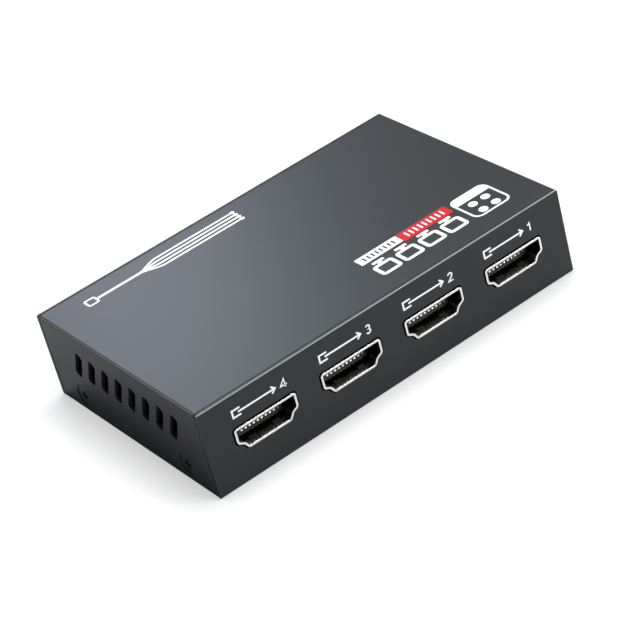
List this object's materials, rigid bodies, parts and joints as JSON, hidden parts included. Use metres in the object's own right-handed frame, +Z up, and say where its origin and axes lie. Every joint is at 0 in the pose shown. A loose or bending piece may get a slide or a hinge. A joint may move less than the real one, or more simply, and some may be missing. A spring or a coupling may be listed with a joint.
{
  "type": "hdmi splitter",
  "caption": "Low folded-metal box that copies one video input to a row of outputs; sockets on both long sides, vents and screws in the ends, power jack behind.",
  "frame": {"origin": "middle of the case's underside, on the surface that it stands on", "axes": "+X along the case, with output 1 at the +X end; -Y is the side of the outputs; +Z up"},
  "size_m": [0.093, 0.06, 0.0203],
  "materials": {
    "case_paint": "satin powder coat, dark grey",
    "screw_black": "black oxide",
    "zinc": "zinc plated",
    "brass_pillar": "turned",
    "nickel_shell": "bright nickel plated",
    "black_moulding": "fine matt",
    "contact_metal": "gold flashed",
    "board_green": "solder mask",
    "chip_black": "moulded epoxy",
    "lead_tin": "tinned",
    "pad_grey": "soft, matt",
    "sink_aluminium": "black anodised",
    "can_metal": "bright",
    "ferrite": "matt ferrite",
    "ceramic_tan": "fired ceramic",
    "red_lens": "tinted clear",
    "green_lens": "tinted clear"
  },
  "bodies": {
    "root": {"base_tray": "case_paint", "board_screws": "zinc", "board_standoffs": "brass_pillar", "circuit_board": "board_green", "clock_crystal": "can_metal", "controller_chip": "chip_black", "controller_chip_leads": "lead_tin", "cover_screws": "screw_black", "filter_capacitors": "can_metal", "heat_sink": "sink_aluminium", "input_contacts": "contact_metal", "input_insert": "black_moulding", "input_shell": "nickel_shell", "led_leads": "lead_tin", "output_1_contacts": "contact_metal", "output_1_insert": "black_moulding", "output_1_shell": "nickel_shell", "output_2_contacts": "contact_metal", "output_2_insert": "black_moulding", "output_2_shell": "nickel_shell", "output_3_contacts": "contact_metal", "output_3_insert": "black_moulding", "output_3_shell": "nickel_shell", "output_4_contacts": "contact_metal", "output_4_insert": "black_moulding", "output_4_shell": "nickel_shell", "output_leds": "green_lens", "power_inductor": "ferrite", "power_jack_housing": "black_moulding", "power_jack_pin": "nickel_shell", "power_jack_spring": "contact_metal", "power_led": "red_lens", "small_capacitors": "ceramic_tan", "small_resistors": "chip_black", "splitter_chip": "chip_black", "splitter_chip_leads": "lead_tin", "surge_protectors": "chip_black", "thermal_pad": "pad_grey", "top_cover": "case_paint", "voltage_regulator_leads": "lead_tin", "voltage_regulators": "chip_black"}
  },
  "joints": []
}
